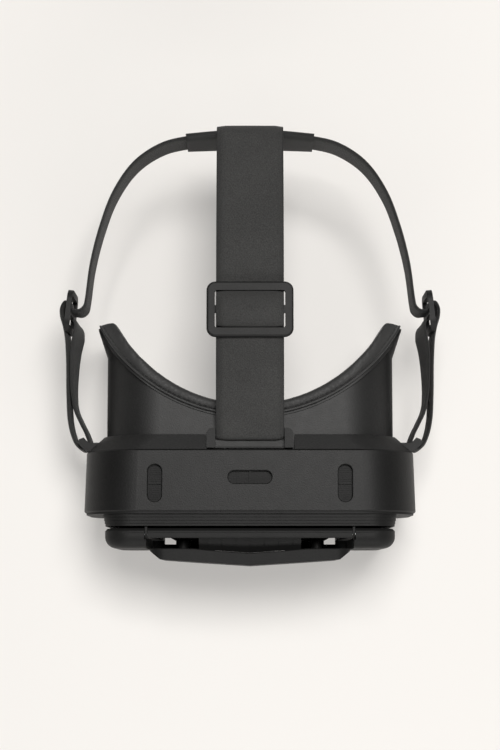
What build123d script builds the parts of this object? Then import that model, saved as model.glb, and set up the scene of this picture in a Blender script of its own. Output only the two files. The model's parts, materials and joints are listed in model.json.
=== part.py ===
"""Phone-holding headset: housing, lens mechanism, hinged front cover, face pad and head straps.

Millimetres. +Z up, the front faces -Y, origin at the middle of the flat underside.
"""

import os
from math import cos, pi, radians, sin

from build123d import *

os.makedirs("parts", exist_ok=True)

# Housing band
FRONT_W = 198.2
REAR_W = 195.8
HOUSING_H = 100.0
HOUSING_R = 34.0
WALL = 2.5
BAND_FRONT = -15.8
BAND_REAR = 20.5
MID_Z = HOUSING_H / 2
INNER_HALF_W = 95.4
INNER_HALF_H = HOUSING_H / 2 - WALL
SHOULDER_REAR = 29.5

# Front frame and cover
FRAME_FACE = -24.0
COVER_BACK = -25.4
COVER_MID = -31.0
COVER_FRONT = -37.0
COVER_HALF_W = 85.6
COVER_Z0 = 5.0
COVER_Z1 = 94.5
BAY_HALF_W = 82.0
BAY_Z0 = 9.0
BAY_Z1 = 91.0
BAY_SCREEN = -19.5
HINGE_Y = -29.0
HINGE_Z = 90.5
HINGE_X = 60.7
HINGE_PIN_R = 1.0

# Control slots in the top
FOCUS_X = 55.5
FOCUS_Y = 0.7
FOCUS_SLOT = (8.2, 21.8)
FOCUS_TRAVEL = 2.3
IPD_Y = 4.2
IPD_SLOT = (25.6, 7.5)
IPD_TRAVEL = 4.0
PLATE_Z0 = 95.7
PLATE_Z1 = 97.2

# Lens mechanism
EYE_X = 32.0
BARREL_R = 23.0
CELL_R = 21.2
RING_R = 27.0
CARRIAGE_Y0 = 10.0
CARRIAGE_Y1 = 15.0
ROD_Y = 12.5
ROD_R = 1.25
ROD_Z = (8.7, 91.3)
PINION_Z = 82.0
PINION_TEETH = 10
PITCH_R = 5.0
TOOTH_REACH = 0.8
PEG_Y = 2.0
PEG_R = 1.5

# Face side
SHROUD_HALF_W = 86.2
SHROUD_HALF_H = 44.5
SHROUD_R = 33.0
FACE_Y = 142.0
PAD_IN_R = 94.5
PAD_IN_HALF_W = 91.2
PAD_OUT_R = 101.5
CARRIER_R = 103.0
PAD_TIP_Y = 97.0
PAD_HALF_W = 93.0
PAD_CORNER_R = 36.0
FLARE_Y = 77.0
PAD_MID_Z = 49.0

# Straps
TOP_STRAP_W = 39.3
STRAP_T = 2.0
TOP_STRAP_Z = 110.5
TOP_SLIDER_Y = 100.9
BAR_X = 100.4
BAR_Y = 27.0
BACK_PATH = [(98.6, 112.6), (95.4, 134.0), (89.5, 156.0), (81.5, 176.0), (69.0, 193.2), (53.0, 203.6)]


def facing(y):
    """Plane across the headset at a given Y: x is X, y is Z, its normal faces the front."""
    return Plane(origin=(0, y, 0), x_dir=(1, 0, 0), z_dir=(0, -1, 0))


def slab(y0, y1, half_w, half_h, radius, z=MID_Z, x=0.0, mode=Mode.ADD):
    """Rounded block between two Y positions in the active part."""
    with BuildSketch(facing(y0)) as outline:
        with Locations((x, z)):
            RectangleRounded(2 * half_w, 2 * half_h, radius)
    extrude(outline.sketch, amount=-(y1 - y0), mode=mode)


def block(x0, x1, y0, y1, z0, z1, mode=Mode.ADD):
    """Plain block between two corners in the active part."""
    with Locations(((x0 + x1) / 2, (y0 + y1) / 2, (z0 + z1) / 2)):
        Box(x1 - x0, y1 - y0, z1 - z0, mode=mode)


def rod(radius, start, end, mode=Mode.ADD):
    """Round bar between two points in the active part."""
    along = Vector(*end) - Vector(*start)
    with BuildSketch(Plane(origin=start, z_dir=along.normalized())) as disc:
        Circle(radius)
    extrude(disc.sketch, amount=along.length, mode=mode)


def save(part, label):
    """Name a finished part and write it."""
    part.label = label
    export_step(part, f"parts/{label}.step")


def mirrored(part):
    """The same piece on the other side."""
    with BuildPart() as other:
        mirror(part, about=Plane.YZ)
    return other.part


def face_column(radius, mode):
    """Upright cylinder that gives the face side its curve."""
    with Locations((0, FACE_Y, MID_Z)):
        Cylinder(radius, 160, mode=mode)


def nose_notch():
    """Room for the nose at the bottom of the face side."""
    with BuildSketch(facing(34)) as notch:
        with BuildLine():
            Polyline((-25, -6), (25, -6), (11, 27), (-11, 27), close=True)
        make_face()
        fillet(notch.vertices().group_by(Axis.Y)[-1], radius=8)
    extrude(notch.sketch, amount=-80, mode=Mode.SUBTRACT)


# Housing, a tube split along its middle
with BuildPart() as housing:
    for place, width in ((BAND_FRONT, FRONT_W), (BAND_REAR, REAR_W)):
        with BuildSketch(facing(place)):
            with Locations((0, MID_Z)):
                RectangleRounded(width, HOUSING_H + 0.06, HOUSING_R)
    loft(ruled=True)
    block(-120, 120, BAND_FRONT - 1, BAND_REAR + 1, 0, HOUSING_H, mode=Mode.INTERSECT)
    chamfer(housing.faces().sort_by(Axis.Y)[0].outer_wire().edges(), length=0.8)
    chamfer(housing.faces().sort_by(Axis.Y)[-1].outer_wire().edges(), length=0.8)
    slab(BAND_FRONT - 1, BAND_REAR + 1, INNER_HALF_W, INNER_HALF_H, HOUSING_R - WALL, mode=Mode.SUBTRACT)

with BuildPart() as housing_upper:
    add(housing.part)
    block(-120, 120, -40, 40, -10, MID_Z, mode=Mode.SUBTRACT)
    for side in (-1, 1):
        with BuildSketch(Plane.XY.offset(HOUSING_H - 4)):
            with Locations((side * FOCUS_X, FOCUS_Y)):
                RectangleRounded(FOCUS_SLOT[0], FOCUS_SLOT[1], 4.05)
        extrude(amount=8, mode=Mode.SUBTRACT)
    with BuildSketch(Plane.XY.offset(HOUSING_H - 4)):
        with Locations((0, IPD_Y)):
            RectangleRounded(IPD_SLOT[0], IPD_SLOT[1], 3.7)
    extrude(amount=8, mode=Mode.SUBTRACT)
    slot_edges = housing_upper.edges().filter_by_position(Axis.Z, HOUSING_H - 0.01, HOUSING_H + 0.01)
    inside = slot_edges.filter_by_position(Axis.Y, BAND_FRONT + 3, BAND_REAR - 3)
    chamfer(inside.filter_by_position(Axis.X, -61, 61), length=0.4)
save(housing_upper.part, "housing_upper")

with BuildPart() as housing_lower:
    add(housing.part)
    block(-120, 120, -40, 40, MID_Z, 120, mode=Mode.SUBTRACT)
save(housing_lower.part, "housing_lower")

# Face shroud, cut to the curve of the face
with BuildPart() as face_shroud:
    slab(18.5, 100, SHROUD_HALF_W, SHROUD_HALF_H, SHROUD_R)
    with BuildSketch(facing(FLARE_Y)):
        with Locations((0, PAD_MID_Z)):
            RectangleRounded(2 * SHROUD_HALF_W - 0.4, 2 * SHROUD_HALF_H - 0.4, SHROUD_R)
    with BuildSketch(facing(PAD_TIP_Y)):
        with Locations((0, PAD_MID_Z)):
            RectangleRounded(2 * PAD_HALF_W - 0.6, 2 * SHROUD_HALF_H + 2, PAD_CORNER_R)
    loft(ruled=True)
    slab(18.5, 100, SHROUD_HALF_W - 2, SHROUD_HALF_H - 2, SHROUD_R - 2, mode=Mode.SUBTRACT)
    face_column(CARRIER_R, Mode.SUBTRACT)
    block(-120, 120, 95, 120, -10, 120, mode=Mode.SUBTRACT)
    nose_notch()
save(face_shroud.part, "face_shroud")

# Rear shoulder, tapering from the housing to the shroud
with BuildPart() as rear_shoulder:
    with BuildSketch(facing(BAND_REAR)):
        with Locations((0, MID_Z)):
            RectangleRounded(194.6, 99, 33.5)
    with BuildSketch(facing(SHOULDER_REAR)):
        with Locations((0, MID_Z)):
            RectangleRounded(176, 90, 33.5)
    loft(ruled=True)
    slab(18, 31, SHROUD_HALF_W, SHROUD_HALF_H, SHROUD_R, mode=Mode.SUBTRACT)
    block(-20.4, 20.4, 22.2, 27.9, 92, 102, mode=Mode.SUBTRACT)
    block(-26.1, 26.1, BAND_REAR, 34, 93.8, 102, mode=Mode.SUBTRACT)
save(rear_shoulder.part, "rear_shoulder")

# Front frame with three stepped ridges, the viewing windows and the recess for the phone
FRAME_STEPS = [
    (-18.9, 86.6, 47.4, 17.0),
    (-20.8, 86.2, 46.7, 16.5),
    (-22.5, 85.8, 46.0, 16.0),
    (-24.0, 85.4, 45.3, 15.0),
]
with BuildPart() as front_frame:
    slab(-17.0, BAND_FRONT, 97.8, 49.0, 33.0)
    step_start = -17.0
    for step_end, half_w, half_h, corner in FRAME_STEPS:
        slab(step_end, step_start, half_w, half_h, corner)
        step_start = step_end
    slab(-30, BAY_SCREEN, BAY_HALF_W, (BAY_Z1 - BAY_Z0) / 2, 8.0, mode=Mode.SUBTRACT)
    for side in (-1, 1):
        slab(-30, 0, 38.0, 36.0, 12.0, x=side * 41.0, mode=Mode.SUBTRACT)
    for side in (-1, 1):
        block(side * HINGE_X - 0.7, side * HINGE_X + 0.7, HINGE_Y, FRAME_FACE + 1, 87.8, 93.2)
        rod(2.7, (side * HINGE_X - 0.7, HINGE_Y, HINGE_Z), (side * HINGE_X + 0.7, HINGE_Y, HINGE_Z))
        rod(
            HINGE_PIN_R + 0.05,
            (side * HINGE_X - 2, HINGE_Y, HINGE_Z),
            (side * HINGE_X + 2, HINGE_Y, HINGE_Z),
            mode=Mode.SUBTRACT,
        )
        rod(1.7, (side * 60, FRAME_FACE, 7.0), (side * 60, FRAME_FACE + 2, 7.0), mode=Mode.SUBTRACT)
save(front_frame.part, "front_frame")

with BuildPart() as frame_magnets:
    for side in (-1, 1):
        rod(1.7, (side * 60, FRAME_FACE, 7.0), (side * 60, FRAME_FACE + 2, 7.0))
save(frame_magnets.part, "frame_magnets")

# Bulkhead that carries the lens rods
with BuildPart() as lens_bulkhead:
    slab(16, 18.5, INNER_HALF_W, INNER_HALF_H, HOUSING_R - WALL)
    for side in (-1, 1):
        half_w = BARREL_R + IPD_TRAVEL + 0.6
        slab(15, 20, half_w, BARREL_R + 0.7, BARREL_R + 0.6, x=side * EYE_X, mode=Mode.SUBTRACT)
        block(side * FOCUS_X - 8, side * FOCUS_X + 8, 15, 19, 95.2, 99, mode=Mode.SUBTRACT)
        for height in ROD_Z:
            block(side * 75 - 3, side * 75 + 3, 10.4, 16, height - 2.5, height + 2.5)
    for height in ROD_Z:
        rod(ROD_R, (-79, ROD_Y, height), (79, ROD_Y, height), mode=Mode.SUBTRACT)
save(lens_bulkhead.part, "lens_bulkhead")

with BuildPart() as guide_rods:
    for height in ROD_Z:
        rod(ROD_R, (-79, ROD_Y, height), (79, ROD_Y, height))
save(guide_rods.part, "guide_rods")

with BuildPart() as septum:
    block(-1.2, 1.2, BAND_FRONT, 8, WALL, 89)
    add(front_frame.part, mode=Mode.SUBTRACT)
save(septum.part, "septum")

# Tracks under the three slider plates
with BuildPart() as slider_tracks:
    for side in (-1, 1):
        for edge in (-1, 1):
            x_in = side * FOCUS_X + edge * 4.6
            x_wall = side * FOCUS_X + edge * 6.2
            x_out = side * FOCUS_X + edge * 7.6
            block(min(x_in, x_out), max(x_in, x_out), -15.0, 15.6, 94.0, 95.4)
            block(min(x_wall, x_out), max(x_wall, x_out), -15.0, 15.6, 95.4, 97.5)
    for edge in (-1, 1):
        y_in = IPD_Y + edge * 4.2
        y_wall = IPD_Y + edge * 5.8
        y_out = IPD_Y + edge * 7.0
        block(-23, 23, min(y_in, y_out), max(y_in, y_out), 94.0, 95.4)
        block(-23, 23, min(y_wall, y_out), max(y_wall, y_out), 95.4, 97.5)
save(slider_tracks.part, "slider_tracks")

# Eye-spacing slider: ribbed plate with an index ridge and a tab that drives the right carriage
with BuildPart() as ipd_slider:
    half_length = IPD_SLOT[0] / 2 + IPD_TRAVEL + 0.4
    block(-half_length, half_length, IPD_Y - 5.5, IPD_Y + 5.5, PLATE_Z0, PLATE_Z1)
    for step in range(-8, 9):
        if step != 0:
            block(step * 1.5 - 0.35, step * 1.5 + 0.35, IPD_Y - 3.4, IPD_Y + 3.4, PLATE_Z1, PLATE_Z1 + 0.25)
    block(-0.6, 0.6, IPD_Y - 3.7, IPD_Y + 3.7, PLATE_Z1, 98.2)
    block(13.0, 16.0, 3.4, 7.4, 87.5, PLATE_Z0)
save(ipd_slider.part, "ipd_slider")

# Focus sliders: ribbed plate, index ridge, stem and fork that moves the lens barrel
with BuildPart() as focus_slider_right:
    half_length = FOCUS_SLOT[1] / 2 + FOCUS_TRAVEL + 0.4
    block(FOCUS_X - 5.9, FOCUS_X + 5.9, FOCUS_Y - half_length, FOCUS_Y + half_length, PLATE_Z0, PLATE_Z1)
    for step in range(-7, 8):
        if step != 0:
            y_rib = FOCUS_Y + step * 1.3
            block(FOCUS_X - 3.8, FOCUS_X + 3.8, y_rib - 0.3, y_rib + 0.3, PLATE_Z1, PLATE_Z1 + 0.25)
    block(FOCUS_X - 3.8, FOCUS_X + 3.8, FOCUS_Y - 0.6, FOCUS_Y + 0.6, PLATE_Z1, 98.2)
    block(FOCUS_X - 2, FOCUS_X + 2, -0.5, 4.5, 83.5, PLATE_Z0)
    block(25, FOCUS_X + 2.5, -2.3, 6.3, 80.0, 83.5)
    block(EYE_X - 5.9, EYE_X + 5.9, PEG_Y - 1.8, PEG_Y + 1.8, 79, 85, mode=Mode.SUBTRACT)
save(focus_slider_right.part, "focus_slider_right")
save(mirrored(focus_slider_right.part), "focus_slider_left")

# Pinion between the two racks
with BuildPart() as ipd_pinion:
    rod(PITCH_R - 1.1, (0, 10.3, PINION_Z), (0, 15.0, PINION_Z))
    for tooth in range(PINION_TEETH):
        angle = radians(90 + tooth * 360 / PINION_TEETH)
        out = (cos(angle), sin(angle))
        across = (-sin(angle), cos(angle))
        corners = []
        for reach, half in ((PITCH_R - 1.6, 1.0), (PITCH_R + TOOTH_REACH, 0.42)):
            corners.append((out[0] * reach - across[0] * half, PINION_Z + out[1] * reach - across[1] * half))
            corners.append((out[0] * reach + across[0] * half, PINION_Z + out[1] * reach + across[1] * half))
        with BuildSketch(facing(10.3)):
            with BuildLine():
                Polyline(corners[0], corners[1], corners[3], corners[2], close=True)
            make_face()
        extrude(amount=-4.7)
    rod(1.55, (0, 10, PINION_Z), (0, 16, PINION_Z), mode=Mode.SUBTRACT)
save(ipd_pinion.part, "ipd_pinion")

with BuildPart() as pinion_axle:
    rod(1.5, (0, 9.9, PINION_Z), (0, 16, PINION_Z))
    rod(2.6, (0, 9.0, PINION_Z), (0, 9.9, PINION_Z))
save(pinion_axle.part, "pinion_axle")


def rack_teeth(x0, x1, root_z, direction):
    """Rack teeth hanging from or standing on a bar, one gap centred on X = 0."""
    pitch = pi * 2 * PITCH_R / PINION_TEETH
    for step in range(-3, 3):
        centre = (step + 0.5) * pitch
        if centre - 1 > x0 and centre + 1 < x1:
            tip_z = root_z + direction * 2.3
            with BuildSketch(facing(CARRIAGE_Y0)) as tooth_face:
                with BuildLine():
                    Polyline(
                        (centre - 0.95, root_z), (centre + 0.95, root_z),
                        (centre + 0.4, tip_z), (centre - 0.4, tip_z), close=True,
                    )
                make_face()
            extrude(tooth_face.sketch, amount=-(CARRIAGE_Y1 - CARRIAGE_Y0))


def carriage_ring(side):
    """Ring and rod bearings shared by both carriages."""
    with BuildSketch(facing(CARRIAGE_Y0)) as ring:
        with Locations((side * EYE_X, MID_Z)):
            Circle(RING_R)
        with Locations((side * EYE_X, MID_Z + 34), (side * EYE_X, MID_Z - 34)):
            Rectangle(16, 19.6)
        with Locations((side * EYE_X, MID_Z)):
            Circle(BARREL_R + 0.05, mode=Mode.SUBTRACT)
    extrude(ring.sketch, amount=-(CARRIAGE_Y1 - CARRIAGE_Y0))


# Right carriage, with the upper rack and the ear for the slider tab
with BuildPart() as carriage_right:
    carriage_ring(1)
    block(-8, 40, CARRIAGE_Y0, CARRIAGE_Y1, 88.5, 93.8)
    rack_teeth(-8, 8, 88.5, -1)
    block(9.5, 19.5, 3.0, CARRIAGE_Y0, 88.5, 93.6)
    block(12.7, 16.3, 3.0, CARRIAGE_Y0 - 2, 86, 94, mode=Mode.SUBTRACT)
    for height in ROD_Z:
        rod(ROD_R + 0.05, (-20, ROD_Y, height), (60, ROD_Y, height), mode=Mode.SUBTRACT)
save(carriage_right.part, "carriage_right")

# Left carriage, with the lower rack
with BuildPart() as carriage_left:
    carriage_ring(-1)
    block(-40, -20, CARRIAGE_Y0, CARRIAGE_Y1, 88.5, 93.8)
    block(-30, 8, CARRIAGE_Y0, CARRIAGE_Y1, 72.9, 75.5)
    rack_teeth(-8, 8, 75.5, 1)
    with BuildSketch(facing(CARRIAGE_Y0 - 1)):
        with Locations((-EYE_X, MID_Z)):
            Circle(BARREL_R + 0.05)
    extrude(amount=-7, mode=Mode.SUBTRACT)
    for height in ROD_Z:
        rod(ROD_R + 0.05, (-60, ROD_Y, height), (0, ROD_Y, height), mode=Mode.SUBTRACT)
save(carriage_left.part, "carriage_left")

# Lens cells
with BuildPart() as lens_barrel_right:
    rod(BARREL_R, (EYE_X, -1, MID_Z), (EYE_X, 23, MID_Z))
    rod(PEG_R, (EYE_X, PEG_Y, MID_Z + 21.5), (EYE_X, PEG_Y, 84.2))
    rod(20.0, (EYE_X, -2, MID_Z), (EYE_X, 24, MID_Z), mode=Mode.SUBTRACT)
    rod(CELL_R, (EYE_X, 14.5, MID_Z), (EYE_X, 24, MID_Z), mode=Mode.SUBTRACT)
save(lens_barrel_right.part, "lens_barrel_right")
save(mirrored(lens_barrel_right.part), "lens_barrel_left")

with BuildPart() as lens_right:
    rod(CELL_R, (EYE_X, 8, MID_Z), (EYE_X, 25, MID_Z))
    with Locations((EYE_X, 21.87 - 60, MID_Z)):
        Sphere(60, mode=Mode.INTERSECT)
    with Locations((EYE_X, 11.13 + 60, MID_Z)):
        Sphere(60, mode=Mode.INTERSECT)
save(lens_right.part, "lens_right")
save(mirrored(lens_right.part), "lens_left")

with BuildPart() as lens_ring_right:
    rod(24.5, (EYE_X, 23, MID_Z), (EYE_X, 24.8, MID_Z))
    rod(CELL_R, (EYE_X, 18, MID_Z), (EYE_X, 23, MID_Z))
    rod(19.8, (EYE_X, 17, MID_Z), (EYE_X, 26, MID_Z), mode=Mode.SUBTRACT)
    chamfer(lens_ring_right.faces().sort_by(Axis.Y)[-1].edges(), length=0.6)
    add(lens_right.part, mode=Mode.SUBTRACT)
save(lens_ring_right.part, "lens_ring_right")
save(mirrored(lens_ring_right.part), "lens_ring_left")

# Front cover: bezel with a recessed middle, the phone bay behind it and a lip below the vent gap
with BuildPart() as front_cover:
    cover_half_h = (COVER_Z1 - COVER_Z0) / 2
    cover_mid = (COVER_Z1 + COVER_Z0) / 2
    slab(COVER_FRONT, COVER_BACK, COVER_HALF_W, cover_half_h, 15.0, z=cover_mid)
    fillet(front_cover.faces().sort_by(Axis.Y)[0].outer_wire().edges(), radius=7.0)
    chamfer(front_cover.faces().sort_by(Axis.Y)[-1].outer_wire().edges(), length=1.5)
    block(-HINGE_X, HINGE_X, COVER_FRONT - 1, COVER_MID, 12.0, 120, mode=Mode.SUBTRACT)
    block(-76, 76, -28.1, -27.6, COVER_Z1 - 0.5, 120, mode=Mode.SUBTRACT)
    slab(-29.5, COVER_BACK + 1, BAY_HALF_W, (BAY_Z1 - BAY_Z0) / 2, 8.0, mode=Mode.SUBTRACT)
    for side in (-1, 1):
        block(side * 50 - 3.6, side * 50 + 3.6, -33.2, -28.8, 0, 90, mode=Mode.SUBTRACT)
        block(side * HINGE_X - 5.6, side * HINGE_X + 5.6, HINGE_Y - 1.9, COVER_BACK, 87.6, 92.8)
        ear_x = side * HINGE_X
        block(ear_x - 0.95, ear_x + 0.95, -32.0, COVER_BACK + 1, 87.0, 120, mode=Mode.SUBTRACT)
        rod(
            HINGE_PIN_R,
            (side * HINGE_X - 5.6, HINGE_Y, HINGE_Z),
            (side * HINGE_X + 5.6, HINGE_Y, HINGE_Z),
            mode=Mode.SUBTRACT,
        )
        rod(1.7, (side * 60, COVER_BACK, 7.0), (side * 60, COVER_BACK - 2, 7.0), mode=Mode.SUBTRACT)
        for height in (26, 74):
            start = (side * 39.5, COVER_MID, height)
            rod(2.0, start, (side * 39.5, COVER_MID + 1.5, height), mode=Mode.SUBTRACT)
save(front_cover.part, "front_cover")

with BuildPart() as hinge_pins:
    for side in (-1, 1):
        rod(HINGE_PIN_R, (side * HINGE_X - 5.6, HINGE_Y, HINGE_Z), (side * HINGE_X + 5.6, HINGE_Y, HINGE_Z))
save(hinge_pins.part, "hinge_pins")

with BuildPart() as cover_magnets:
    for side in (-1, 1):
        rod(1.7, (side * 60, COVER_BACK, 7.0), (side * 60, COVER_BACK - 2, 7.0))
save(cover_magnets.part, "cover_magnets")

# Sloping panel in the vent gap, with a seam line every 8.4 mm
with BuildPart() as vent_panel:
    with BuildSketch(Plane.XY.offset(12)):
        Polygon(
            (-30, COVER_MID), (30, COVER_MID), (30, -37.24), (20, -38.16),
            (0, -39.56), (-20, -38.16), (-30, -37.24),
            align=None,
        )
    extrude(amount=80)
    with BuildSketch(Plane.YZ):
        Polygon((-30, 89), (-40.5, 82), (-40.5, 80), (-30, 87), align=None)
    extrude(amount=40, both=True, mode=Mode.INTERSECT)
    for step in range(-3, 4):
        with BuildSketch(Plane.YZ.offset(step * 8.4)):
            Polygon((-31.3, 87.6), (-39.9, 81.8), (-39.9, 92), (-31.3, 92), align=None)
        extrude(amount=0.25, both=True, mode=Mode.SUBTRACT)
save(vent_panel.part, "vent_panel")

# Rubber strips under the phone and the sliding jaw above it
with BuildPart() as phone_pads:
    for side in (-1, 1):
        block(side * 31 - 14, side * 31 + 14, -29.0, -25.9, BAY_Z0, BAY_Z0 + 1.5)
save(phone_pads.part, "phone_pads")

with BuildPart() as phone_jaw:
    slab(-29.2, -25.8, 32, 1.6, 0.8, z=78.8)
    block(-14, 14, -29.2, -28.0, 80, 84)
save(phone_jaw.part, "phone_jaw")

with BuildPart() as jaw_pad:
    block(-26, 26, -29.0, -26.0, 76.0, 77.2)
save(jaw_pad.part, "jaw_pad")

# Front plate with its shallow V, held off the cover by four pins
with BuildPart() as front_plate:
    with BuildSketch(Plane.XY.offset(12)):
        with BuildLine():
            Polyline(
                (-59.2, -37.2), (-47, -36.9), (-33, -37.1), (-20, -38.3), (0, -39.7),
                (20, -38.3), (33, -37.1), (47, -36.9), (59.2, -37.2), (58.8, -38.6),
                (52.8, -43.4), (33, -44.8), (0, -46.9), (-33, -44.8), (-52.8, -43.4), (-58.8, -38.6),
                close=True,
            )
        make_face()
    extrude(amount=76.3)
    chamfer(front_plate.faces().sort_by(Axis.Z)[-1].edges(), length=0.5)
    slab(-60, -30, 59.2, 38.1, 9.0, z=50.2, mode=Mode.INTERSECT)
save(front_plate.part, "front_plate")

with BuildPart() as plate_pins:
    for side in (-1, 1):
        for height in (26, 74):
            rod(3.0, (side * 39.5, -37.2, height), (side * 39.5, COVER_MID - 0.3, height))
            rod(1.9, (side * 39.5, COVER_MID - 0.3, height), (side * 39.5, COVER_MID + 1.3, height))
    add(front_plate.part, mode=Mode.SUBTRACT)
save(plate_pins.part, "plate_pins")

# Pad carrier and face pad
with BuildPart() as pad_carrier:
    slab(30, 100, 92.2, 46.0, 34.0, z=49.6)
    slab(30, 100, 80.0, 37.0, 28.0, z=49.6, mode=Mode.SUBTRACT)
    face_column(CARRIER_R - 0.01, Mode.INTERSECT)
    face_column(PAD_OUT_R + 0.01, Mode.SUBTRACT)
    block(-120, 120, 95.0, 120, -10, 120, mode=Mode.SUBTRACT)
    nose_notch()
save(pad_carrier.part, "pad_carrier")

with BuildPart() as face_pad:
    slab(30, PAD_TIP_Y, PAD_HALF_W, 49.0, PAD_CORNER_R, z=PAD_MID_Z)
    slab(30, PAD_TIP_Y, 77.0, 34.5, 26.0, z=PAD_MID_Z, mode=Mode.SUBTRACT)
    face_column(PAD_OUT_R, Mode.INTERSECT)
    with BuildSketch(Plane.XY.offset(-20)) as hollow:
        with Locations((0, FACE_Y)):
            Ellipse(PAD_IN_HALF_W, PAD_IN_R)
    extrude(hollow.sketch, amount=160, mode=Mode.SUBTRACT)
    nose_notch()
save(face_pad.part, "face_pad")

# Bracket that the top strap passes through
with BuildPart() as top_strap_anchor:
    with BuildSketch(Plane.XY.offset(92)) as anchor_plan:
        with Locations((0, 27.1)):
            Rectangle(50.6, 11.6)
        fillet(anchor_plan.vertices().group_by(Axis.Y)[-1], radius=3.5)
    extrude(amount=8.0)
    block(-20.3, 20.3, 22.2, 28.0, 90, 110, mode=Mode.SUBTRACT)
    block(-20.3, 20.3, 20, 40, 96.6, 110, mode=Mode.SUBTRACT)
    add(rear_shoulder.part, mode=Mode.SUBTRACT)
    slab(18.5, 60, SHROUD_HALF_W, SHROUD_HALF_H, SHROUD_R, mode=Mode.SUBTRACT)
save(top_strap_anchor.part, "top_strap_anchor")

# Upright bar and ears for the side strap
with BuildPart() as side_strap_loop_right:
    for z0 in (35.5, 70.0):
        with BuildSketch(Plane.XY.offset(z0)) as ear:
            with BuildLine():
                Polyline(
                    (84, 21), (97.2, 20.7), (100.2, 22.9), (102.6, 25.6),
                    (102.4, 28.2), (99.6, 29.3), (96.6, 26.2), (84, 26.2),
                    close=True,
                )
            make_face()
        extrude(amount=2.5)
    rod(1.6, (BAR_X, BAR_Y, 36), (BAR_X, BAR_Y, 72))
    add(rear_shoulder.part, mode=Mode.SUBTRACT)
    slab(18, 60, SHROUD_HALF_W, SHROUD_HALF_H, SHROUD_R, mode=Mode.SUBTRACT)
save(side_strap_loop_right.part, "side_strap_loop_right")
save(mirrored(side_strap_loop_right.part), "side_strap_loop_left")

# Side buckles, each a flat frame with a middle bar
with BuildPart() as side_buckle_right:
    with Locations(Location((108.8, 105.6, 63.0), (0, 0, 5.85))):
        Box(3.0, 25.0, 38.0)
    fillet(side_buckle_right.edges().filter_by(Axis.X, tolerance=8), radius=7.0)
    for offset_y in (-5.5, 5.5):
        with Locations(Location((108.8, 105.6, 63.0), (0, 0, 5.85)) * Location((0, offset_y, 0))):
            Box(8.0, 6.4, 29.6, mode=Mode.SUBTRACT)
save(side_buckle_right.part, "side_buckle_right")
save(mirrored(side_buckle_right.part), "side_buckle_left")

with BuildPart() as buckles:
    add(side_buckle_right.part)
    mirror(side_buckle_right.part, about=Plane.YZ)

# Back strap, one band round the back of the head
with BuildPart() as back_strap:
    hook = [(107.2, 106.0), (102.6, 105.8), (99.6, 108.4)]
    half_path = hook + BACK_PATH + [(37.6, 207.5), (19.0, 209.4)]
    left_half = [(-x, y) for x, y in half_path]
    with BuildSketch():
        with BuildLine() as back_line:
            Spline(*(left_half + [(0, 210.0)] + half_path[::-1]))
        trace(back_line.line, STRAP_T)
    extrude(amount=130)
    with BuildSketch(Plane.YZ):
        Polygon(
            (95, 47.5), (95, 76.5), (112, 78), (206, 94.5), (215, 95), (215, 66), (206, 65.5), (112, 49),
            align=None,
        )
    extrude(amount=130, both=True, mode=Mode.INTERSECT)
    add(buckles.part, mode=Mode.SUBTRACT)
save(back_strap.part, "back_strap")

# Sleeve that joins the top strap to the back strap
with BuildPart() as yoke_sleeve:
    with BuildSketch(Plane.XY.offset(62)):
        with BuildLine() as yoke_line:
            Spline((-38, 207.4), (-19, 209.4), (0, 210.0), (19, 209.4), (38, 207.4))
        trace(yoke_line.line, 5.0)
    extrude(amount=36.5)
    slab(195, 220, 38.2, 18.2, 4.0, z=80.25, mode=Mode.INTERSECT)
    add(back_strap.part, mode=Mode.SUBTRACT)
save(yoke_sleeve.part, "yoke_sleeve")

# Top strap: rises from the anchor, runs level under the slider, falls to the yoke and turns down behind it
with BuildPart() as top_strap:
    strap_mid = TOP_STRAP_Z - STRAP_T / 2
    with BuildSketch(Plane.YZ):
        with BuildLine() as front_run:
            Line((26.7, 94.8), (26.7, 95.4))
            Spline((26.7, 95.4), (29.6, 98.4), tangents=[(0, 1), (1, 0.45)])
            Spline((29.6, 98.4), (45, 105.0), (66, strap_mid), tangents=[(1, 0.45), (1, 0)])
            Line((66, strap_mid), (136, strap_mid))
            Spline((136, strap_mid), (175, 105.4), (205, 99.9), tangents=[(1, 0), (1, -0.2)])
            Spline((205, 99.9), (211.2, 98.1), (213.6, 94.5), (213.6, 90), tangents=[(1, -0.2), (0, -1)])
            Line((213.6, 90), (213.6, 70))
        trace(front_run.line, STRAP_T)
    extrude(amount=TOP_STRAP_W / 2, both=True)
    add(yoke_sleeve.part, mode=Mode.SUBTRACT)
    add(top_strap_anchor.part, mode=Mode.SUBTRACT)
    add(rear_shoulder.part, mode=Mode.SUBTRACT)
save(top_strap.part, "top_strap")

# Side loop strap: over the buckle bar, round the upright bar and back
with BuildPart() as loop_strap_right:
    with BuildSketch():
        with BuildLine() as loop_line:
            Spline(
                (108.2, 110.6), (111.4, 111.0), (113.5, 107.8), (113.6, 103.0), (112.0, 97.0), (110.8, 90.0),
                (110.1, 76.0), (110.0, 55.0), (109.0, 40.0), (107.0, 31.5), (104.2, 25.6), (100.6, 23.1),
                (97.0, 26.0), (98.4, 31.5), (101.8, 38.5), (105.4, 46.5), (106.9, 56.0), (107.0, 70.0),
                (106.4, 82.0), (104.9, 92.0), (104.8, 97.0), (106.4, 100.4),
            )
        trace(loop_line.line, 2.4)
    extrude(amount=130)
    with BuildSketch(Plane.YZ):
        Polygon((10, 40), (10, 67), (55, 67), (115, 77.5), (115, 49.5), (55, 40), align=None)
    extrude(amount=130, both=True, mode=Mode.INTERSECT)
    add(buckles.part, mode=Mode.SUBTRACT)
    add(side_strap_loop_right.part, mode=Mode.SUBTRACT)
    add(rear_shoulder.part, mode=Mode.SUBTRACT)
save(loop_strap_right.part, "loop_strap_right")
save(mirrored(loop_strap_right.part), "loop_strap_left")

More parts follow.
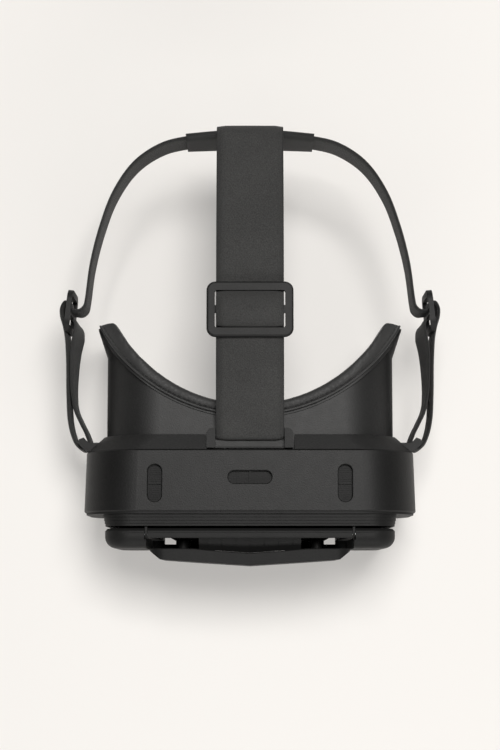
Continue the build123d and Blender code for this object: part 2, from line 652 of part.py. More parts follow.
# Slider on the top strap, with the ply of webbing that passes over its middle bar
with BuildPart() as top_slider:
    with BuildSketch(Plane.XY.offset(TOP_STRAP_Z + 0.3)):
        with Locations((0, TOP_SLIDER_Y)):
            RectangleRounded(50.6, 32.4, 5.2)
            RectangleRounded(41.0, 22.0, 1.5, mode=Mode.SUBTRACT)
        with Locations((0, TOP_SLIDER_Y)):
            Rectangle(42.0, 4.4)
    extrude(amount=3.2)
    rim = top_slider.faces().sort_by(Axis.Z)[-1].outer_wire().edges()
    fillet(rim, radius=1.3)
save(top_slider.part, "top_slider")

with BuildPart() as strap_over_bar:
    with BuildSketch(Plane.YZ):
        with BuildLine() as over_line:
            Spline(
                (TOP_SLIDER_Y - 10.0, 112.0), (TOP_SLIDER_Y - 9.1, 114.0), (TOP_SLIDER_Y - 5.6, 116.9),
                (TOP_SLIDER_Y, 118.0), (TOP_SLIDER_Y + 5.6, 116.9), (TOP_SLIDER_Y + 9.1, 114.0),
                (TOP_SLIDER_Y + 10.0, 112.0),
            )
        trace(over_line.line, 1.8)
    extrude(amount=20.1, both=True)
    add(top_slider.part, mode=Mode.SUBTRACT)
save(strap_over_bar.part, "strap_over_bar")
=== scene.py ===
"""Looks of the headset: materials, webbing, face cushion, stitching, light, floor and camera.

Lengths are in metres. The front faces -Y, the head goes in at +Y and Z is up.
"""
import json
import math

import bpy
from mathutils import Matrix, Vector


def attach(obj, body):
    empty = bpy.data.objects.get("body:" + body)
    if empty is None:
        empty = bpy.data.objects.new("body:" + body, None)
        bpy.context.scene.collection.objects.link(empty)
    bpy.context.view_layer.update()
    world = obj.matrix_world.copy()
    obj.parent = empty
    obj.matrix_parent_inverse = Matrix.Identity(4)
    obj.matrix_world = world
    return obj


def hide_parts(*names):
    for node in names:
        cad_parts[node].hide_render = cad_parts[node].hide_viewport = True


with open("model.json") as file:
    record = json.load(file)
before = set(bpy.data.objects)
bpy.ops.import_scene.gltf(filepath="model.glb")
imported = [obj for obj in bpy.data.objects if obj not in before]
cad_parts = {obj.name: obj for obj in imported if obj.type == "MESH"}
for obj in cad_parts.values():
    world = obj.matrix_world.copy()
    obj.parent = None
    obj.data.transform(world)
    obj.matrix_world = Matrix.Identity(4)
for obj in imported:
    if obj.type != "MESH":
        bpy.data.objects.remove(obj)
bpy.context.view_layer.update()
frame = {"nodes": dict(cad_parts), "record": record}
nodes = frame["nodes"]
scene = bpy.context.scene


# ---------------------------------------------------------------- materials
# A source is a pair of a node and the name of one of its outputs.
def new_material(name):
    """A new material, its node tree and its shader."""
    mat = bpy.data.materials.new(name)
    mat.use_nodes = True
    tree = mat.node_tree
    return mat, tree, tree.nodes["Principled BSDF"]


def add_node(tree, kind, **settings):
    """A new node. Each setting goes to the input of that name, or else to the node itself."""
    node = tree.nodes.new(kind)
    for key, value in settings.items():
        if key in node.inputs:
            node.inputs[key].default_value = value
        else:
            setattr(node, key, value)
    return node


def link(tree, source, target, into):
    """Join a source to one input of the target node."""
    node, out = source
    tree.links.new(node.outputs[out], target.inputs[into])


def object_coords(tree):
    return add_node(tree, "ShaderNodeTexCoord"), "Object"


def noise(tree, coords, scale, detail, rough=0.55):
    node = add_node(tree, "ShaderNodeTexNoise", Scale=scale, Detail=detail, Roughness=rough)
    link(tree, coords, node, "Vector")
    return node, "Fac"


def remap(tree, source, before, after=(0.0, 1.0)):
    """A source taken from one range to another, both given as (low, high)."""
    node = add_node(tree, "ShaderNodeMapRange")
    node.inputs["From Min"].default_value, node.inputs["From Max"].default_value = before
    node.inputs["To Min"].default_value, node.inputs["To Max"].default_value = after
    link(tree, source, node, "Value")
    return node, "Result"


def multiply_add(tree, source, factor, added=None):
    """source * factor, plus a second source where there is one."""
    node = add_node(tree, "ShaderNodeMath", operation="MULTIPLY_ADD")
    link(tree, source, node, 0)
    node.inputs[1].default_value = factor
    if added:
        link(tree, added, node, 2)
    else:
        node.inputs[2].default_value = 0.0
    return node, "Value"


def tint(tree, shader, factor, dark, light):
    """Base colour that goes from dark to light with a source."""
    blend = add_node(tree, "ShaderNodeMix", data_type="RGBA")
    blend.inputs["A"].default_value = (*dark, 1)
    blend.inputs["B"].default_value = (*light, 1)
    link(tree, factor, blend, "Factor")
    link(tree, (blend, "Result"), shader, "Base Color")


def relief(tree, shader, height, strength, depth):
    """Bump that follows a source."""
    bump = add_node(tree, "ShaderNodeBump", Strength=strength, Distance=depth)
    link(tree, height, bump, "Height")
    link(tree, (bump, "Normal"), shader, "Normal")


def moulded(name, dark, light, rough, level=0.22):
    """Moulded plastic with a spark-eroded grain, faint cloudiness and handling wear."""
    mat, tree, shader = new_material(name)
    coords = object_coords(tree)
    cloud = noise(tree, coords, scale=22.0, detail=3.0)
    grain = noise(tree, coords, scale=1300.0, detail=2.0, rough=0.6)
    wear = noise(tree, coords, scale=140.0, detail=6.0, rough=0.7)
    speckle = multiply_add(tree, grain, 1.5, cloud)
    tint(tree, shader, remap(tree, speckle, (0.8, 1.7)), dark, light)
    gloss = remap(tree, wear, (0.3, 0.75), (rough - 0.015, rough + 0.025))
    link(tree, gloss, shader, "Roughness")
    relief(tree, shader, grain, strength=0.75, depth=0.00013)
    shader.inputs["Specular IOR Level"].default_value = level
    return mat


def leatherette(name, dark, light, rough):
    """Soft coated fabric with a fine pebble grain and creases."""
    mat, tree, shader = new_material(name)
    coords = object_coords(tree)
    voronoi = add_node(tree, "ShaderNodeTexVoronoi", Scale=900.0, feature="F1")
    link(tree, coords, voronoi, "Vector")
    pebbles = (voronoi, "Distance")
    creases = noise(tree, coords, scale=60.0, detail=5.0, rough=0.6)
    tint(tree, shader, remap(tree, creases, (0.3, 0.7)), dark, light)
    gloss = remap(tree, pebbles, (0.0, 0.8), (rough - 0.08, rough + 0.1))
    link(tree, gloss, shader, "Roughness")
    relief(tree, shader, multiply_add(tree, creases, 0.5, pebbles), strength=0.35, depth=0.00015)
    shader.inputs["Sheen Weight"].default_value = 0.15
    shader.inputs["Sheen Roughness"].default_value = 0.5
    return mat


def woven(name, dark, light, rib=0.0009, cross=0.0008):
    """Webbing with a fine crossing weave and fuzz, laid on UVs that are in metres.

    rib and cross are the periods of the weave across the band and along it.
    """
    mat, tree, shader = new_material(name)
    uv = add_node(tree, "ShaderNodeUVMap", uv_map="metres")
    split = add_node(tree, "ShaderNodeSeparateXYZ")
    link(tree, (uv, "UV"), split, "Vector")

    def wave(axis, period):
        sine = add_node(tree, "ShaderNodeMath", operation="SINE")
        link(tree, multiply_add(tree, (split, axis), 2 * math.pi / period), sine, 0)
        return sine, "Value"

    product = add_node(tree, "ShaderNodeMath", operation="MULTIPLY")
    link(tree, wave("Y", rib), product, 0)
    link(tree, wave("X", cross), product, 1)
    weave = (product, "Value")
    coords = object_coords(tree)
    fuzz = noise(tree, coords, scale=1500.0, detail=2.0, rough=0.7)
    cloud = noise(tree, coords, scale=35.0, detail=3.0)
    flecks = multiply_add(tree, fuzz, 4.5, weave)
    shade = multiply_add(tree, cloud, 1.2, flecks)
    tint(tree, shader, remap(tree, shade, (1.5, 4.2)), dark, light)
    relief(tree, shader, multiply_add(tree, fuzz, 2.2, weave), strength=0.6, depth=0.00016)
    shader.inputs["Roughness"].default_value = 0.7
    shader.inputs["Specular IOR Level"].default_value = 0.3
    shader.inputs["Sheen Weight"].default_value = 0.06
    shader.inputs["Sheen Roughness"].default_value = 0.45
    return mat


def metal(name, color, rough):
    """Ground or plated metal with fine scratches."""
    mat, tree, shader = new_material(name)
    scratches = noise(tree, object_coords(tree), scale=900.0, detail=3.0, rough=0.7)
    gloss = remap(tree, scratches, (0.3, 0.7), (rough - 0.06, rough + 0.1))
    link(tree, gloss, shader, "Roughness")
    tint(tree, shader, scratches, tuple(c * 0.85 for c in color), color)
    relief(tree, shader, scratches, strength=0.1, depth=0.00003)
    shader.inputs["Metallic"].default_value = 1.0
    return mat


def clear_lens(name):
    """Clear acrylic with a faint bloom in its roughness."""
    mat, tree, shader = new_material(name)
    bloom = noise(tree, object_coords(tree), scale=80.0, detail=4.0)
    link(tree, remap(tree, bloom, (0.3, 0.8), (0.01, 0.05)), shader, "Roughness")
    shader.inputs["Base Color"].default_value = (0.95, 0.97, 1.0, 1)
    shader.inputs["Transmission Weight"].default_value = 1.0
    shader.inputs["IOR"].default_value = 1.49
    shader.inputs["Coat Weight"].default_value = 0.3
    return mat


# dark and light colour, roughness, specular level
HOUSING = moulded("housing_plastic", (0.0035, 0.0035, 0.0035), (0.009, 0.009, 0.0089), 0.5, 0.24)
SHELL = moulded("shell_plastic", (0.004, 0.004, 0.004), (0.011, 0.011, 0.011), 0.56, 0.42)
FRONT = moulded("front_plastic", (0.006, 0.006, 0.006), (0.011, 0.011, 0.0108), 0.56, 0.18)
PLATE = moulded("plate_plastic", (0.007, 0.007, 0.007), (0.012, 0.012, 0.0118), 0.56, 0.15)
MECHANISM = moulded("mechanism_plastic", (0.02, 0.02, 0.021), (0.028, 0.028, 0.03), 0.5)
SLIDER = moulded("slider_plastic", (0.005, 0.005, 0.005), (0.010, 0.010, 0.0099), 0.56, 0.18)
BUCKLE = moulded("buckle_plastic", (0.005, 0.005, 0.005), (0.012, 0.012, 0.0118), 0.54, 0.22)
RUBBER = moulded("rubber_strip", (0.014, 0.014, 0.014), (0.02, 0.02, 0.02), 0.75)
# colour, roughness
MAGNET = metal("plated_magnet", (0.6, 0.6, 0.62), 0.18)
STEEL = metal("ground_steel", (0.55, 0.55, 0.56), 0.3)
LENS = clear_lens("clear_acrylic")
# dark and light colour, roughness
PAD_SKIN = leatherette("pad_leatherette", (0.011, 0.011, 0.011), (0.016, 0.016, 0.0158), 0.62)
PIPING = leatherette("piping_leatherette", (0.013, 0.013, 0.013), (0.019, 0.019, 0.0188), 0.55)
# dark and light colour, rib, cross
WEB = woven("elastic_webbing", (0.013, 0.013, 0.0129), (0.050, 0.050, 0.0488))
SLEEVE = woven("sleeve_webbing", (0.011, 0.011, 0.0112), (0.028, 0.028, 0.0277), 0.0012, 0.0009)
THREAD = woven("sewing_thread", (0.012, 0.012, 0.012), (0.026, 0.026, 0.0258), 0.0004, 0.0006)

BY_SLOT = {
    "housing": HOUSING, "shell_black": SHELL, "front_black": FRONT, "front_plate": PLATE,
    "magnet": MAGNET, "steel": STEEL, "mechanism": MECHANISM, "slider": SLIDER, "lens": LENS,
    "pad_cover": PAD_SKIN, "buckle": BUCKLE, "webbing": WEB, "sleeve": SLEEVE, "rubber": RUBBER,
}
for part in frame["record"]["subparts"]:
    for material_slot in nodes[part["node"]].material_slots:
        material_slot.material = BY_SLOT[part["material_slot"]]


# ---------------------------------------------------------------- mesh helpers
ACROSS = 9  # points from one edge of a band to the other, on each face
EDGE_SHARE = 0.35  # how thick a band is at its very edge, as a share of its thickness
CROWN = 0.10  # how much thicker a band is along its middle
HIGH_LEAN = 0.5  # how far the high edge of a twisted band leans, as a share of the low edge
BEAD_SIDES = 6
STITCH_RINGS, STITCH_SIDES = 7, 6


def make_object(name, verts, faces, material, uvs):
    mesh = bpy.data.meshes.new(name)
    mesh.from_pydata(verts, [], faces)
    layer = mesh.uv_layers.new(name="metres")
    for loop in mesh.loops:
        layer.data[loop.index].uv = uvs[loop.vertex_index]
    mesh.validate()
    mesh.update()
    for poly in mesh.polygons:
        poly.use_smooth = True
    mesh.materials.append(material)
    obj = bpy.data.objects.new(name, mesh)
    scene.collection.objects.link(obj)
    return obj


def ring_faces(rings, count, first=0, capped=True):
    """Faces between successive rings of count points each, from the point called first."""
    faces = []
    for i in range(rings - 1):
        for k in range(count):
            a = first + i * count + k
            b = first + i * count + (k + 1) % count
            faces.append((a, b, b + count, a + count))
    if capped:
        faces.append(tuple(first + k for k in range(count))[::-1])
        faces.append(tuple(first + (rings - 1) * count + k for k in range(count)))
    return faces


def smooth_path(points, per_span):
    """Centripetal curve through points given as tuples, with per_span steps between them."""
    pts = [Vector(p) for p in points]
    pts = [pts[0] * 2 - pts[1]] + pts + [pts[-1] * 2 - pts[-2]]
    out = []
    for i in range(1, len(pts) - 2):
        p0, p1, p2, p3 = pts[i - 1:i + 3]
        t = [0.0]
        for a, b in ((p0, p1), (p1, p2), (p2, p3)):
            t.append(t[-1] + max((b - a).length, 1e-9) ** 0.5)
        for k in range(per_span):
            s = t[1] + (t[2] - t[1]) * k / per_span
            a1 = p0 * ((t[1] - s) / (t[1] - t[0])) + p1 * ((s - t[0]) / (t[1] - t[0]))
            a2 = p1 * ((t[2] - s) / (t[2] - t[1])) + p2 * ((s - t[1]) / (t[2] - t[1]))
            a3 = p2 * ((t[3] - s) / (t[3] - t[2])) + p3 * ((s - t[2]) / (t[3] - t[2]))
            b1 = a1 * ((t[2] - s) / (t[2] - t[0])) + a2 * ((s - t[0]) / (t[2] - t[0]))
            b2 = a2 * ((t[3] - s) / (t[3] - t[1])) + a3 * ((s - t[1]) / (t[3] - t[1]))
            out.append(b1 * ((t[2] - s) / (t[2] - t[1])) + b2 * ((s - t[1]) / (t[2] - t[1])))
    out.append(pts[-2].copy())
    return out


def heading(path, i):
    """Where an open path is going at one of its points."""
    return path[min(i + 1, len(path) - 1)] - path[max(i - 1, 0)]


def ribbon(name, centres, normals, widths, thickness, material):
    """Band with rounded edges and a slight crown.

    centres are its mid points, normals face out, and widths hold the vectors to its two edges.
    """
    verts, uvs = [], []
    length = 0.0
    half = thickness / 2
    shares = [k / (ACROSS - 1) for k in range(ACROSS)]
    ring = [(f, 1.0) for f in shares] + [(1 - f, -1.0) for f in shares]
    for i, centre in enumerate(centres):
        if i:
            length += (centre - centres[i - 1]).length
        low, high = widths[i]
        span = (high - low).length
        for f, face_side in ring:
            edge_gap = min(f, 1 - f) * span
            round_off = 1.0
            if edge_gap <= half:
                round_off = math.sqrt(max(0.0, 1 - (1 - edge_gap / half) ** 2))
            crown = 1.0 + CROWN * math.sin(math.pi * f)
            rise = half * (EDGE_SHARE + (1 - EDGE_SHARE) * round_off) * crown / (1 + CROWN / 2)
            place = low + (high - low) * f + normals[i] * (face_side * rise)
            verts.append(centre + place)
            uvs.append((length, face_side * f * span))
    return make_object(name, verts, ring_faces(len(centres), len(ring)), material, uvs)


def plan_strap(name, points, z_low, z_high, thickness, material, per_span=12, twist=None):
    """Upright band that follows a path seen from above, points given as (X, Y).

    z_low and z_high give the heights of its edges from Y. twist gives how far the low edge leans
    away from the normal, from the share of the path.
    """
    path = smooth_path([(x, y, 0) for x, y in points], per_span)
    normals, widths = [], []
    for i, p in enumerate(path):
        ahead = heading(path, i)
        normal = Vector((ahead.y, -ahead.x, 0)).normalized()
        lean = twist(i / (len(path) - 1)) if twist else 0.0
        low = Vector((0, 0, z_low(p.y))) - normal * lean
        high = Vector((0, 0, z_high(p.y))) + normal * (lean * HIGH_LEAN)
        normals.append(normal)
        widths.append((low, high))
    return ribbon(name, path, normals, widths, thickness, material)


def side_strap(name, points, width, thickness, material, per_span):
    """Flat band that follows a path in the upright plane of symmetry, points given as (Y, Z)."""
    path = smooth_path([(0, y, z) for y, z in points], per_span)
    normals = []
    for i in range(len(path)):
        ahead = heading(path, i)
        normals.append(Vector((0, -ahead.z, ahead.y)).normalized())
    widths = [(Vector((-width / 2, 0, 0)), Vector((width / 2, 0, 0)))] * len(path)
    return ribbon(name, path, normals, widths, thickness, material)


def tube(name, path, radius, material, sides=8):
    """Round bead along a list of points."""
    verts, uvs = [], []
    length = 0.0
    for i, p in enumerate(path):
        if i:
            length += (p - path[i - 1]).length
        along = heading(path, i).normalized()
        up = Vector((0, 0, 1)) if abs(along.z) < 0.9 else Vector((0, 1, 0))
        side = along.cross(up).normalized()
        top = side.cross(along).normalized()
        for k in range(sides):
            turn = 2 * math.pi * k / sides
            verts.append(p + side * (radius * math.cos(turn)) + top * (radius * math.sin(turn)))
            uvs.append((length, radius * turn))
    return make_object(name, verts, ring_faces(len(path), sides), material, uvs)


def edging(name, strap, radius, body):
    """Thin beads along the two edges of a ribbon."""
    count = ACROSS * 2
    verts = strap.data.vertices
    for word, near in (("a", 0), ("b", ACROSS - 1)):
        far = count - 1 - near
        path = [(verts[i + near].co + verts[i + far].co) / 2 for i in range(0, len(verts), count)]
        bead = tube(name + "_" + word, path, radius, SLEEVE, BEAD_SIDES)
        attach(bead, body)


def stitches(name, path, out, stitch, gap, radius):
    """Row of sewn stitches along a path; out gives the outward direction at a point."""
    lengths = [0.0]
    for a, b in zip(path, path[1:]):
        lengths.append(lengths[-1] + (b - a).length)

    def at(s):
        s = max(0.0, min(lengths[-1], s))
        for i in range(len(path) - 1):
            if s <= lengths[i + 1] or i == len(path) - 2:
                f = (s - lengths[i]) / max(lengths[i + 1] - lengths[i], 1e-9)
                return path[i].lerp(path[i + 1], max(0.0, min(1.0, f)))

    verts, faces, uvs = [], [], []
    start = 0.0
    while start + stitch <= lengths[-1]:
        faces += ring_faces(STITCH_RINGS, STITCH_SIDES, len(verts), capped=False)
        for r in range(STITCH_RINGS):
            f = r / (STITCH_RINGS - 1)
            p = at(start + stitch * f)
            ahead = at(start + stitch * min(1.0, f + 0.05))
            along = (ahead - at(start + stitch * max(0.0, f - 0.05))).normalized()
            up = out(p)
            side = along.cross(up).normalized()
            bulge = math.sin(math.pi * f)
            size = radius * (0.45 + 0.55 * bulge)
            lift = radius * (1.1 * bulge - 0.4)
            for k in range(STITCH_SIDES):
                turn = 2 * math.pi * k / STITCH_SIDES
                rise = up * (lift + size * math.sin(turn))
                verts.append(p + rise + side * (size * 1.15 * math.cos(turn)))
                uvs.append((start + stitch * f, radius * turn))
        start += stitch + gap
    return make_object(name, verts, faces, THREAD, uvs)


def straight(pairs):
    """Function of one value, straight from each given pair to the next and level beyond them."""
    def at(x):
        if x <= pairs[0][0]:
            return pairs[0][1]
        for (x0, value0), (x1, value1) in zip(pairs, pairs[1:]):
            if x <= x1:
                return value0 + (value1 - value0) * (x - x0) / (x1 - x0)
        return pairs[-1][1]
    return at


# ---------------------------------------------------------------- straps
# back strap, from buckle to buckle
BACK_THICK, BACK_BEAD = 0.0019, 0.0006
back_low = straight([(0.095, 0.0475), (0.112, 0.049), (0.206, 0.0655), (0.215, 0.066)])
back_high = straight([(0.095, 0.0765), (0.112, 0.078), (0.206, 0.0945), (0.215, 0.095)])
back_half = [
    (0.1072, 0.1060), (0.1026, 0.1058), (0.0996, 0.1084), (0.0986, 0.1126), (0.0954, 0.1340),
    (0.0895, 0.1560), (0.0815, 0.1760), (0.0690, 0.1932), (0.0530, 0.2036), (0.0376, 0.2075),
    (0.0190, 0.2094),
]
back_points = [(-x, y) for x, y in back_half] + [(0, 0.2100)] + back_half[::-1]
back = plan_strap("back_webbing", back_points, back_low, back_high, BACK_THICK, WEB)
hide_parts("back_strap")
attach(back, "headset")
edging("back_selvedge", back, BACK_BEAD, "headset")

# side loops, from each buckle round the side bar and back; the inner strand leans near the bar
LOOP_THICK, LOOP_BEAD = 0.0021, 0.0005
loop_low = straight([(0.010, 0.040), (0.055, 0.040), (0.115, 0.0495)])
loop_high = straight([(0.010, 0.067), (0.055, 0.067), (0.115, 0.0775)])
loop_points = [
    (0.1082, 0.1106), (0.1114, 0.1110), (0.1135, 0.1078), (0.1136, 0.1030), (0.1120, 0.0970),
    (0.1108, 0.0900), (0.1101, 0.0760), (0.1100, 0.0550), (0.1090, 0.0400), (0.1070, 0.0315),
    (0.1042, 0.0256), (0.1006, 0.0231), (0.0970, 0.0260), (0.0984, 0.0315), (0.1018, 0.0385),
    (0.1054, 0.0465), (0.1071, 0.0560), (0.1074, 0.0700), (0.1068, 0.0820), (0.1049, 0.0920),
    (0.1046, 0.0970), (0.1062, 0.1004),
]
loop_lean = straight([(0.74, 0.0), (0.85, 0.0022), (0.90, 0.0026), (0.94, 0.0020), (0.98, 0.0)])
for side, word in ((-1, "left"), (1, "right")):
    loop = plan_strap(
        "loop_webbing_" + word, [(side * x, y) for x, y in loop_points], loop_low, loop_high,
        LOOP_THICK, WEB, per_span=9, twist=lambda share, way=side: way * loop_lean(share),
    )
    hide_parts("loop_strap_" + word)
    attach(loop, "headset")
    edging("loop_selvedge_" + word, loop, LOOP_BEAD, "headset")

# yoke sleeve over the back strap
SLEEVE_THICK, SLEEVE_TOP_Z = 0.0048, 0.0982
sleeve_points = [
    (-0.0382, 0.2074), (-0.019, 0.2094), (0, 0.2100), (0.019, 0.2094), (0.0382, 0.2074),
]
sleeve_low = straight([(0.2074, 0.0625), (0.2100, 0.0540)])
sleeve = plan_strap(
    "yoke_webbing", sleeve_points, sleeve_low, lambda y: SLEEVE_TOP_Z, SLEEVE_THICK, SLEEVE,
)
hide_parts("yoke_sleeve")
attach(sleeve, "headset")

# top strap, from the anchor to the yoke sleeve, level where the buckle slides
TOP_WIDTH, TOP_THICK, TOP_BEAD, LEVEL_Z = 0.0388, 0.0019, 0.0004, 0.1095
top_points = [
    (0.0267, 0.0926), (0.0267, 0.0950), (0.0276, 0.0973), (0.0305, 0.0990), (0.0375, 0.1022),
    (0.0450, 0.1050), (0.0550, 0.1079), (0.0660, LEVEL_Z), (0.0800, LEVEL_Z), (0.1000, LEVEL_Z),
    (0.1200, LEVEL_Z), (0.1360, LEVEL_Z), (0.1560, 0.1082), (0.1750, 0.1054), (0.1920, 0.1022),
    (0.2050, 0.0995), (0.2100, 0.0983), (0.2131, 0.0955), (0.2138, 0.0900), (0.2138, 0.0800),
    (0.2138, 0.0700),
]
top = side_strap("top_webbing", top_points, TOP_WIDTH, TOP_THICK, WEB, per_span=7)
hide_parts("top_strap")
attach(top, "headset")
edging("top_selvedge", top, TOP_BEAD, "headset")

# ply over the middle bar of the top buckle, which moves with the buckle
BAR_WIDTH, BAR_THICK, BAR_BEAD, BAR_Y = 0.0386, 0.0018, 0.0004, 0.1009
bar_half = [(0.0102, 0.1112), (0.0091, 0.1140), (0.0056, 0.1169)]
bar_points = [(BAR_Y - y, z) for y, z in bar_half] + [(BAR_Y, 0.1180)]
bar_points += [(BAR_Y + y, z) for y, z in bar_half[::-1]]
over = side_strap("bar_webbing", bar_points, BAR_WIDTH, BAR_THICK, WEB, per_span=8)
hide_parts("strap_over_bar")
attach(over, "top_slider")
edging("bar_selvedge", over, BAR_BEAD, "top_slider")

# ---------------------------------------------------------------- face pad
FACE_Y = 0.142  # axis of the upright cylinder on which the pad lies
PAD_BACK_R = 0.1015  # radius of the pad's back
HELD_DEPTH = 0.0016  # how much of the pad, from its back, stays where it is
SWELL_MAX = 0.0022  # how far a point may move as the pad swells
CLOTH_FRAMES = 20
VOXEL, VOXEL_QUICK = 0.0017, 0.0022  # mesh size of the pad
PAD_HALF_W, PAD_HALF_H, PAD_CORNER, PAD_MID_Z = 0.093, 0.049, 0.036, 0.049
PAD_TIP_Y = 0.0962  # where the outline ends at the pad's two sides
OUTLINE_POINTS = 240
RAY_STEP, RAY_STEPS = 0.0003, 400  # how the outline is searched from its middle
# the nose notch, seen from the front, is wide at its foot and narrows upwards
NOTCH_FOOT_Z, NOTCH_TOP_Z, NOTCH_FOOT_HALF, NOTCH_SLOPE = -0.006, 0.027, 0.025, 0.014 / 0.033
NOTCH_GAP = 0.001  # distance that piping and stitches keep from the notch


def apply_modifier(obj, name):
    bpy.context.view_layer.objects.active = obj
    bpy.ops.object.modifier_apply(modifier=name)


def pad_source():
    """Copy of the pad's solid with an even mesh."""
    obj = bpy.data.objects.new("face_cushion", nodes["face_pad"].data.copy())
    scene.collection.objects.link(obj)
    obj.data.materials.clear()
    obj.data.materials.append(PAD_SKIN)
    remesh = obj.modifiers.new("remesh", "REMESH")
    remesh.mode = "VOXEL"
    remesh.voxel_size = VOXEL
    bpy.ops.object.select_all(action="DESELECT")
    obj.select_set(True)
    apply_modifier(obj, "remesh")
    return obj


def swell(obj):
    """Blow the pad up as cloth under pressure, held at its back, by no more than SWELL_MAX."""
    verts = obj.data.vertices
    at_back = [
        v.index for v in verts
        if math.hypot(v.co.x, v.co.y - FACE_Y) > PAD_BACK_R - HELD_DEPTH
    ]
    obj.vertex_groups.new(name="held").add(at_back, 1.0, "REPLACE")
    cloth = obj.modifiers.new("cloth", "CLOTH")
    cloth.settings.quality = 5
    cloth.settings.mass = 0.2
    cloth.settings.tension_stiffness = 25
    cloth.settings.compression_stiffness = 25
    cloth.settings.bending_stiffness = 2.0
    cloth.settings.use_pressure = True
    cloth.settings.uniform_pressure_force = 4.0
    cloth.settings.vertex_group_mass = "held"
    cloth.settings.effector_weights.gravity = 0.0
    cloth.collision_settings.use_collision = False
    cloth.point_cache.frame_start = 1
    cloth.point_cache.frame_end = CLOTH_FRAMES
    for step in range(1, CLOTH_FRAMES + 1):
        scene.frame_set(step)
    shape = obj.evaluated_get(bpy.context.evaluated_depsgraph_get()).to_mesh()
    moved = [v.co.copy() for v in shape.vertices]
    obj.modifiers.remove(cloth)
    scene.frame_set(1)
    for v, end in zip(verts, moved):
        step_out = end - v.co
        if step_out.length > SWELL_MAX:
            step_out = step_out * (SWELL_MAX / step_out.length)
        v.co = v.co + step_out


def soften(obj):
    smooth = obj.modifiers.new("soften", "SMOOTH")
    smooth.factor = 0.5
    smooth.iterations = 12
    apply_modifier(obj, "soften")
    for poly in obj.data.polygons:
        poly.use_smooth = True


cushion = pad_source()
swell(cushion)
soften(cushion)
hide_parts("face_pad")
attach(cushion, "headset")


def pad_outline(inset, radius):
    """Outline of the pad's outer edge, as points on the cylinder of the given radius.

    Rays from the middle find a rectangle with round corners, cut off at the pad's tips.
    """
    half_w, half_h, corner = PAD_HALF_W - inset, PAD_HALF_H - inset, PAD_CORNER - inset
    limit = math.sqrt(radius ** 2 - (FACE_Y - PAD_TIP_Y) ** 2)
    points = []
    for index in range(OUTLINE_POINTS):
        turn = 2 * math.pi * (index + 0.5) / OUTLINE_POINTS
        dx, dz = math.cos(turn), math.sin(turn)
        cx = math.copysign(half_w - corner, dx)
        cz = math.copysign(half_h - corner, dz)
        best = None
        for step in range(1, RAY_STEPS):
            s = step * RAY_STEP
            px, pz = dx * s, dz * s
            if abs(px) > half_w or abs(pz) > half_h:
                break
            in_corner = abs(px) > abs(cx) and abs(pz) > abs(cz)
            if in_corner and math.hypot(px - cx, pz - cz) > corner:
                break
            best = (px, pz)
        px = max(-limit, min(limit, best[0]))
        pz = best[1] + PAD_MID_Z
        points.append(Vector((px, FACE_Y - math.sqrt(radius ** 2 - px * px), pz)))
    return points


def outside_notch(p):
    """Whether a point is clear of the nose notch."""
    half = NOTCH_FOOT_HALF - (p.z - NOTCH_FOOT_Z) * NOTCH_SLOPE
    return p.z > NOTCH_TOP_Z or abs(p.x) > half + NOTCH_GAP


def run_outside_notch(points):
    """The run of points on a closed outline that starts where it leaves the notch."""
    n = len(points)
    start = next(
        i for i in range(n)
        if not outside_notch(points[i]) and outside_notch(points[(i + 1) % n])
    )
    out = []
    for k in range(1, n):
        p = points[(start + k) % n]
        if not outside_notch(p):
            break
        out.append(p)
    return out


def face_out(p):
    """Outward direction on the pad's rim."""
    return Vector((p.x * 0.4, 0, p.z - PAD_MID_Z)).normalized()


piping_path = run_outside_notch(pad_outline(inset=0.0004, radius=0.1010))
piping = tube("pad_piping", piping_path, 0.0006, PIPING)
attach(piping, "headset")
seam_path = run_outside_notch(pad_outline(inset=-0.0003, radius=0.0992))
seam = stitches("pad_stitches", seam_path, face_out, stitch=0.0026, gap=0.0006, radius=0.00018)
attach(seam, "headset")

# ---------------------------------------------------------------- floor, light, camera
FLOOR_HALF = 3
SKY_LOW, SKY_HIGH, SKY_FADE = 0.6, 0.05, 0.35  # strength at the horizon and above SKY_FADE
LAMP_COLOR = (1.0, 0.985, 0.965)
TILT = math.radians(6.5)
TARGET = Vector((0, 0.0638, 0.100))
DISTANCE = 1.056

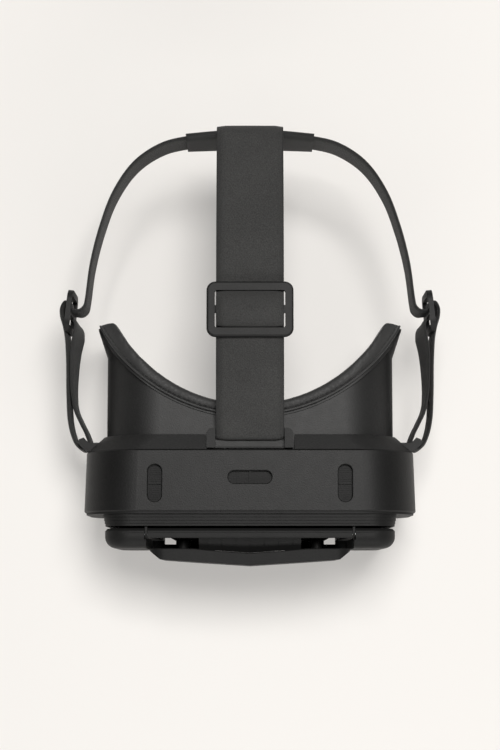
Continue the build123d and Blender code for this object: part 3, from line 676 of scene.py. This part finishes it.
floor_mesh = bpy.data.meshes.new("floor")
corners = [(-1, -1), (1, -1), (1, 1), (-1, 1)]
floor_verts = [(x * FLOOR_HALF, y * FLOOR_HALF, 0) for x, y in corners]
floor_mesh.from_pydata(floor_verts, [], [(0, 1, 2, 3)])
floor = bpy.data.objects.new("floor", floor_mesh)
scene.collection.objects.link(floor)
floor_mat, _, floor_shader = new_material("pale_floor")
floor_shader.inputs["Base Color"].default_value = (0.52, 0.508, 0.492, 1)
floor_shader.inputs["Roughness"].default_value = 0.9
floor_shader.inputs["Specular IOR Level"].default_value = 0.0
floor_shader.inputs["Emission Color"].default_value = (1.0, 0.975, 0.945, 1)
floor_shader.inputs["Emission Strength"].default_value = 0.30
floor_mesh.materials.append(floor_mat)

world = bpy.data.worlds.new("studio")
world.use_nodes = True
sky = world.node_tree
direction = (add_node(sky, "ShaderNodeTexCoord"), "Generated")
height_split = add_node(sky, "ShaderNodeSeparateXYZ")
link(sky, direction, height_split, "Vector")
fade = remap(sky, (height_split, "Z"), (0.0, SKY_FADE), (SKY_LOW, SKY_HIGH))
fade[0].interpolation_type = "SMOOTHSTEP"
link(sky, fade, sky.nodes["Background"], "Strength")
sky.nodes["Background"].inputs["Color"].default_value = (1.0, 0.985, 0.96, 1)
scene.world = world


def area_light(name, place, aim, size, power):
    data = bpy.data.lights.new(name, "AREA")
    data.shape = "RECTANGLE"
    data.size, data.size_y = size
    data.energy = power
    data.color = LAMP_COLOR
    obj = bpy.data.objects.new(name, data)
    obj.location = place
    obj.rotation_euler = (Vector(aim) - Vector(place)).to_track_quat("-Z", "Y").to_euler()
    scene.collection.objects.link(obj)


area_light("overhead", place=(0.24, 0.66, 2.4), aim=(0, 0.06, 0.05), size=(1.0, 0.9), power=62.0)
area_light("front", place=(0.3, -1.6, 1.0), aim=(0, 0.0, 0.06), size=(2.4, 0.8), power=24.0)

camera_data = bpy.data.cameras.new("camera")
camera_data.sensor_fit = "VERTICAL"
camera_data.sensor_height = 36.0
camera_data.lens = 86.6
camera_data.clip_start = 0.05
camera_data.clip_end = 20.0
camera = bpy.data.objects.new("camera", camera_data)
camera.location = TARGET + Vector((0, -math.sin(TILT), math.cos(TILT))) * DISTANCE
camera.rotation_euler = (TILT, 0, 0)
scene.collection.objects.link(camera)
scene.camera = camera

scene.view_settings.view_transform = "Standard"
scene.view_settings.look = "None"
